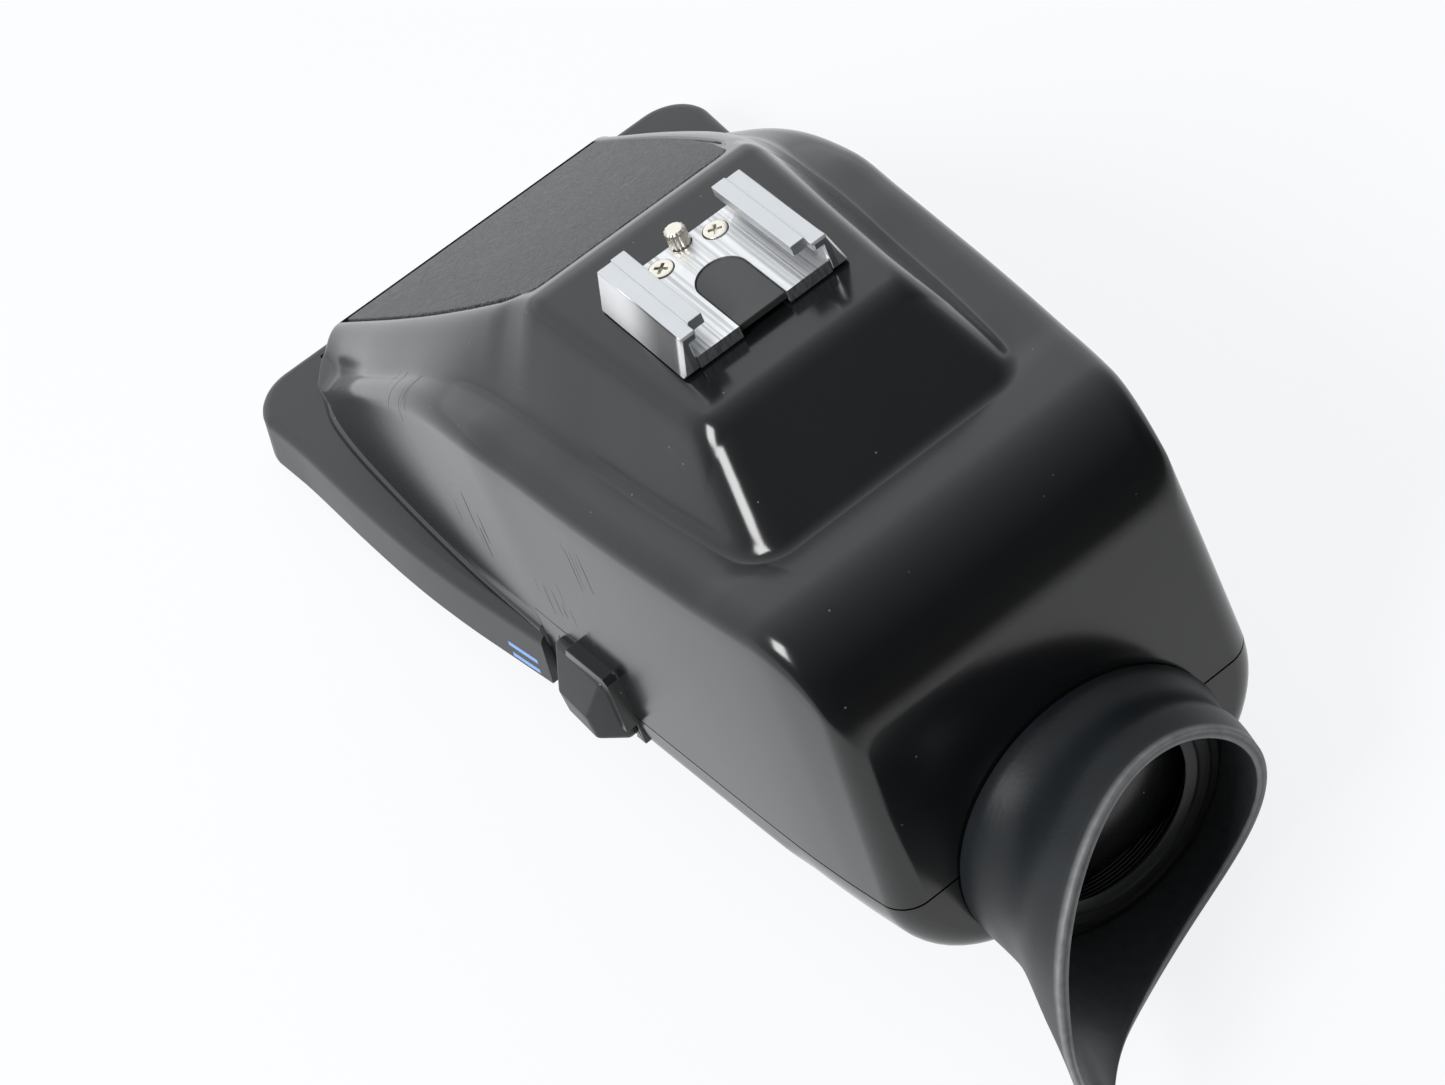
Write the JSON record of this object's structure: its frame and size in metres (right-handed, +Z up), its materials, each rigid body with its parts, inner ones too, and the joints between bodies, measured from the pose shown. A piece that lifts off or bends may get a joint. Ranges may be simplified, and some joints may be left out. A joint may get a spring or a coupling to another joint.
{
  "type": "prism viewfinder",
  "caption": "Detachable camera viewfinder: black housing with a humped back, sloping leatherette front, accessory shoe, round eyepiece with a winged rubber eyecup, mount flange and lock button.",
  "frame": {"origin": "middle of the flat seat on the underside of the mount frame: on the plane that sits on the camera, on the finder's plane of symmetry, 37.8 mm behind the flange's front edge", "axes": "+Z up, away from the camera; +Y forward, towards the camera's lens; +X to the right of a person who looks into the eyepiece"},
  "size_m": [0.0794, 0.1721, 0.0826],
  "materials": {
    "gloss_black": "glossy moulded plastic",
    "satin_black": "satin moulded plastic",
    "cast_black": "black paint on a die casting",
    "matt_black": "matt black",
    "leatherette": "embossed black leatherette",
    "rubber": "matt moulded rubber, worn on the rim",
    "foam": "black foam strip",
    "aluminium": "brushed",
    "nickel": "nickel plated",
    "steel": "spring steel sheet and wire",
    "prism_glass": "polished optical glass"
  },
  "bodies": {
    "housing": {"top_cover": "gloss_black", "mount_frame": "cast_black", "lower_shell": "satin_black", "leatherette_panel": "leatherette", "button_guard": "satin_black", "lever_pin": "nickel", "button_spring": "steel", "accessory_shoe": "aluminium", "shoe_insert": "matt_black", "shoe_screw_left": "nickel", "shoe_screw_right": "nickel", "shoe_stop_pin": "nickel", "shoe_backing_plate": "steel", "roof_prism": "prism_glass", "prism_cradle": "steel", "prism_strap": "steel", "strap_screw_left": "nickel", "strap_screw_right": "nickel", "prism_pad_left": "foam", "prism_pad_right": "foam", "entry_window": "prism_glass", "entry_mask": "matt_black", "light_seal": "foam", "eyepiece_barrel": "matt_black", "field_lens": "prism_glass", "eye_lens": "prism_glass", "lens_spacer": "matt_black", "lens_retaining_ring": "matt_black", "eyepiece_bezel": "satin_black", "frame_screw_front_left": "nickel", "frame_screw_front_right": "nickel", "frame_screw_rear_left": "nickel", "frame_screw_rear_right": "nickel", "shell_screw_left": "nickel", "shell_screw_right": "nickel"},
    "eyecup": {"rubber_eyecup": "rubber"},
    "button": {"release_button": "satin_black"},
    "lever": {"lock_lever": "steel"}
  },
  "joints": [
    {"name": "eyecup_turn", "type": "hinge", "parent": "housing", "child": "eyecup", "pos_m": [0, -0.107, 0.0008], "axis": [0, 1, 0], "continuous": true},
    {"name": "button_press", "type": "slide", "parent": "housing", "child": "button", "axis": [1, 0, 0], "range_m": [0, 0.0016], "stiffness_N_per_m": 350, "springref_m": -0.003, "deforming": ["button_spring"]},
    {"name": "lever_turn", "type": "hinge", "parent": "housing", "child": "lever", "pos_m": [-0.0272, -0.0335, 0.01], "axis": [0, 1, 0], "range_deg": [-14, 0]}
  ],
  "couplings": [
    {"joint": "lever_turn", "follows": "button_press", "rad_per_m": -147.06}
  ]
}
